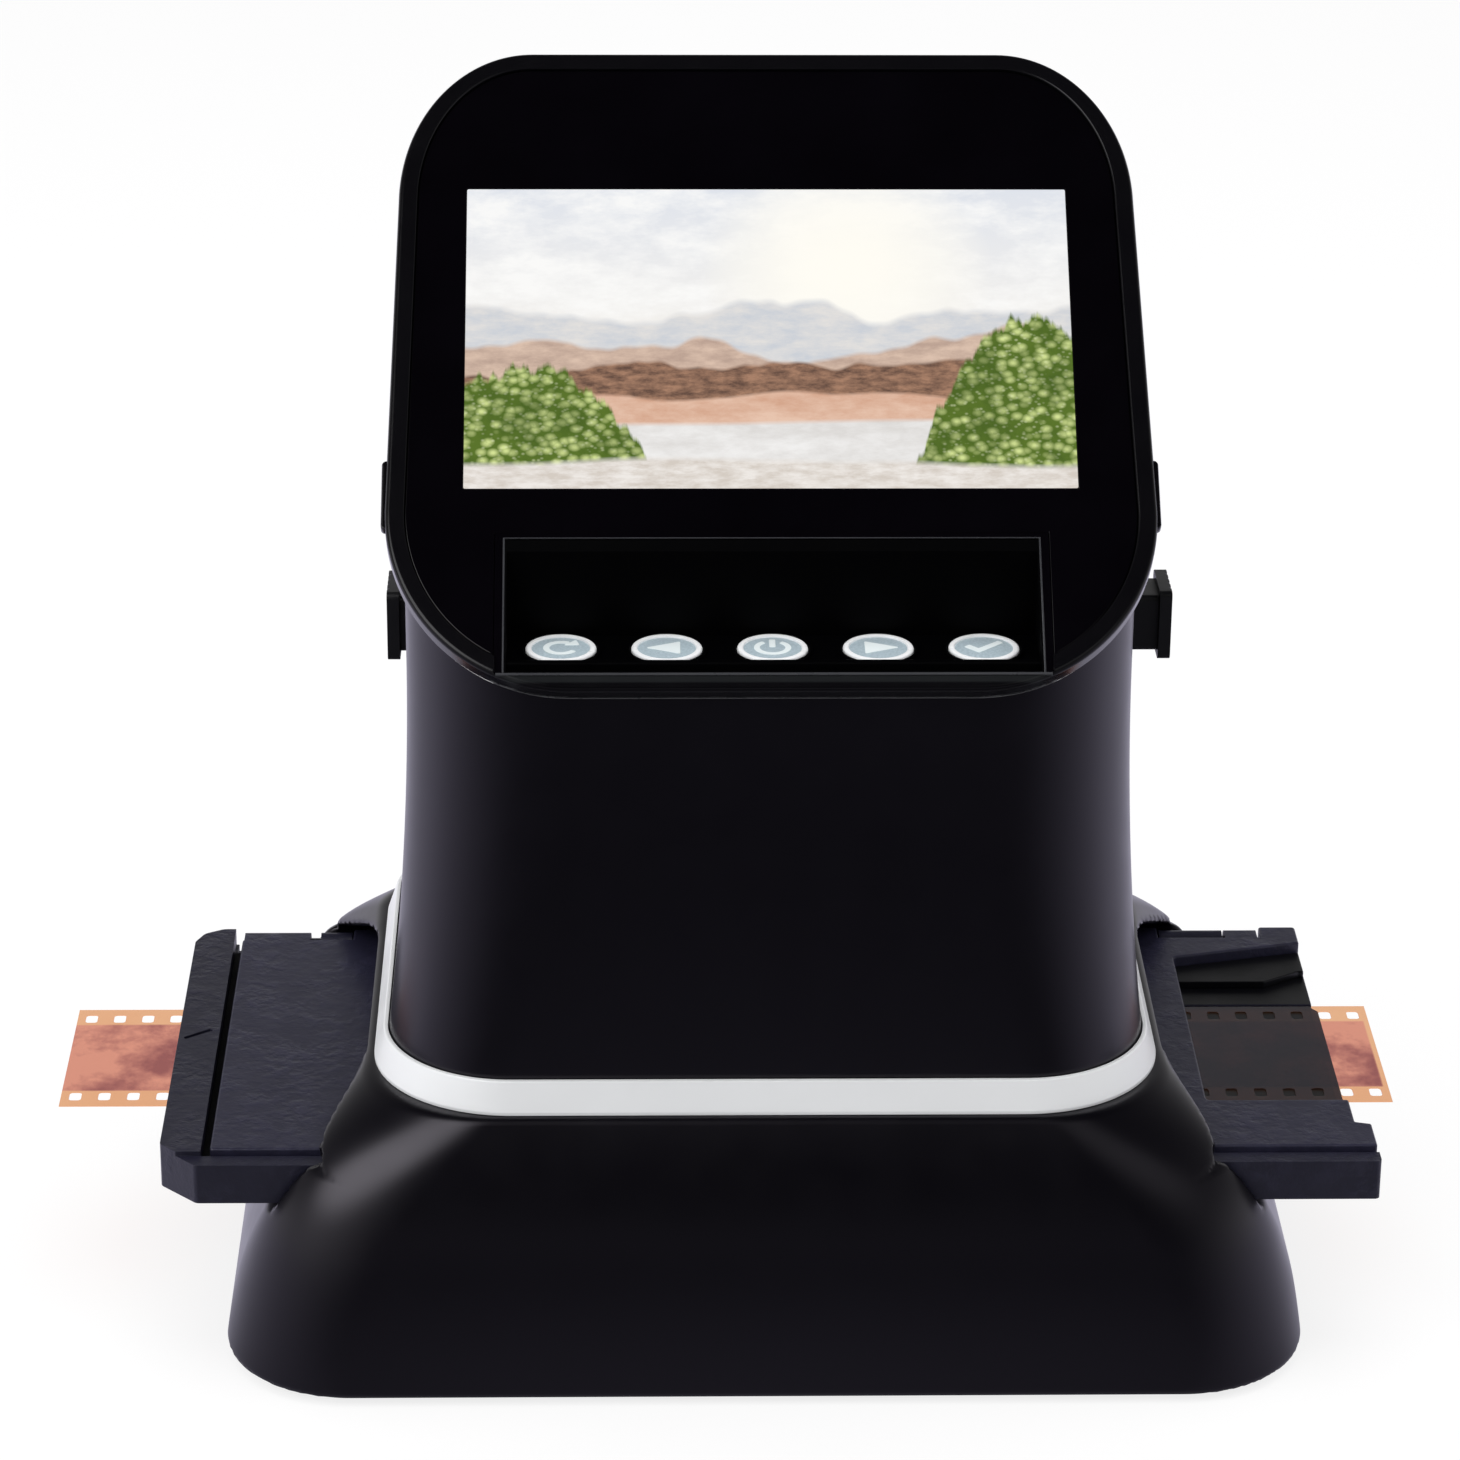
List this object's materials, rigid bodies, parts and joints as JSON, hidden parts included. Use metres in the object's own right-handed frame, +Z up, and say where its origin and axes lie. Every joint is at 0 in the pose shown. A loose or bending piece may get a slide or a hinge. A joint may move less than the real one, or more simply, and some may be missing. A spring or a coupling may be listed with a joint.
{
  "type": "film negative scanner",
  "caption": "Desktop film scanner: flared base, silver band, tilted display with a recessed row of round buttons, and a film strip in a sliding holder.",
  "frame": {"origin": "on the table plane, under the middle of the base's footprint", "axes": "+X to the right as seen by someone facing the display, -Y out of the front, +Z up"},
  "size_m": [0.2184, 0.115, 0.1947],
  "materials": {
    "black_housing": "satin near-black plastic with a faint grain",
    "black_inner_plastic": "matt black",
    "rubber": "matt",
    "screw_steel": "plain zinc-plated",
    "circuit_board": "solder mask green",
    "led_yellow": "phosphor yellow",
    "white_plastic": "white",
    "silver_trim": "bright silver paint",
    "gloss_bezel": "polished black",
    "display_glass": "polished black behind clear glass",
    "display": null,
    "button_blue": "pale blue-grey, satin",
    "component_black": "moulded black",
    "socket_metal": "tinned sheet steel",
    "lens_black": "black anodised",
    "lens_glass": "coated",
    "slider_black": "satin black",
    "ribbon": "amber film",
    "holder_grey": "dark slate with a fine leather grain",
    "film": "orange colour-negative film"
  },
  "bodies": {
    "housing": {"base_skirt": "black_housing", "base_plate": "black_inner_plastic", "rubber_feet": "rubber", "base_screws": "screw_steel", "holder_guide": "black_inner_plastic", "guide_screws": "screw_steel", "backlight_board": "circuit_board", "backlight_leds": "led_yellow", "light_box": "white_plastic", "backlight_diffuser": "white_plastic", "silver_band": "silver_trim", "column_front_shell": "black_housing", "column_rear_shell": "black_housing", "column_screws": "screw_steel", "rear_shell_screws": "screw_steel", "head_trim": "silver_trim", "head_bezel": "gloss_bezel", "bezel_screws": "screw_steel", "display_glass": "display_glass", "display_module": "display", "control_panel": "black_inner_plastic", "button_board": "circuit_board", "button_switches": "component_black", "button_board_screws": "screw_steel", "main_board": "circuit_board", "main_board_screws": "screw_steel", "board_chips": "component_black", "usb_socket": "socket_metal", "video_socket": "socket_metal", "card_board": "circuit_board", "card_socket": "socket_metal", "optical_frame": "black_inner_plastic", "optical_frame_screws": "screw_steel", "lens_barrel": "lens_black", "objective_lens": "lens_glass", "sensor_shroud": "black_inner_plastic", "sensor_board": "circuit_board", "image_sensor": "component_black", "display_ribbon": "ribbon", "sensor_ribbon": "ribbon"},
    "holder": {"holder_frame": "holder_grey", "holder_lid": "holder_grey", "holder_hinge_pins": "screw_steel"},
    "film": {"film_strip": "film"},
    "lens_slider": {"lens_carriage": "black_inner_plastic", "slider_lenses": "lens_glass", "slider_knob_left": "slider_black", "slider_knob_right": "slider_black"},
    "mode_key": {"mode_button": "button_blue"},
    "left_key": {"left_button": "button_blue"},
    "power_key": {"power_button": "button_blue"},
    "right_key": {"right_button": "button_blue"},
    "confirm_key": {"confirm_button": "button_blue"}
  },
  "joints": [
    {"name": "holder_slide", "type": "slide", "parent": "housing", "child": "holder", "axis": [1, 0, 0], "range_m": [-0.1, 0.1]},
    {"name": "film_feed", "type": "slide", "parent": "holder", "child": "film", "axis": [1, 0, 0], "range_m": [-0.089, 0.101]},
    {"name": "lens_slide", "type": "slide", "parent": "housing", "child": "lens_slider", "axis": [1, 0, 0], "range_m": [-0.0055, 0]},
    {"name": "mode_press", "type": "slide", "parent": "housing", "child": "mode_key", "axis": [0, 0, -1], "range_m": [0, 0.0006], "stiffness_N_per_m": 400, "springref_m": -0.001},
    {"name": "left_press", "type": "slide", "parent": "housing", "child": "left_key", "axis": [0, 0, -1], "range_m": [0, 0.0006], "stiffness_N_per_m": 400, "springref_m": -0.001},
    {"name": "power_press", "type": "slide", "parent": "housing", "child": "power_key", "axis": [0, 0, -1], "range_m": [0, 0.0006], "stiffness_N_per_m": 400, "springref_m": -0.001},
    {"name": "right_press", "type": "slide", "parent": "housing", "child": "right_key", "axis": [0, 0, -1], "range_m": [0, 0.0006], "stiffness_N_per_m": 400, "springref_m": -0.001},
    {"name": "confirm_press", "type": "slide", "parent": "housing", "child": "confirm_key", "axis": [0, 0, -1], "range_m": [0, 0.0006], "stiffness_N_per_m": 400, "springref_m": -0.001}
  ]
}
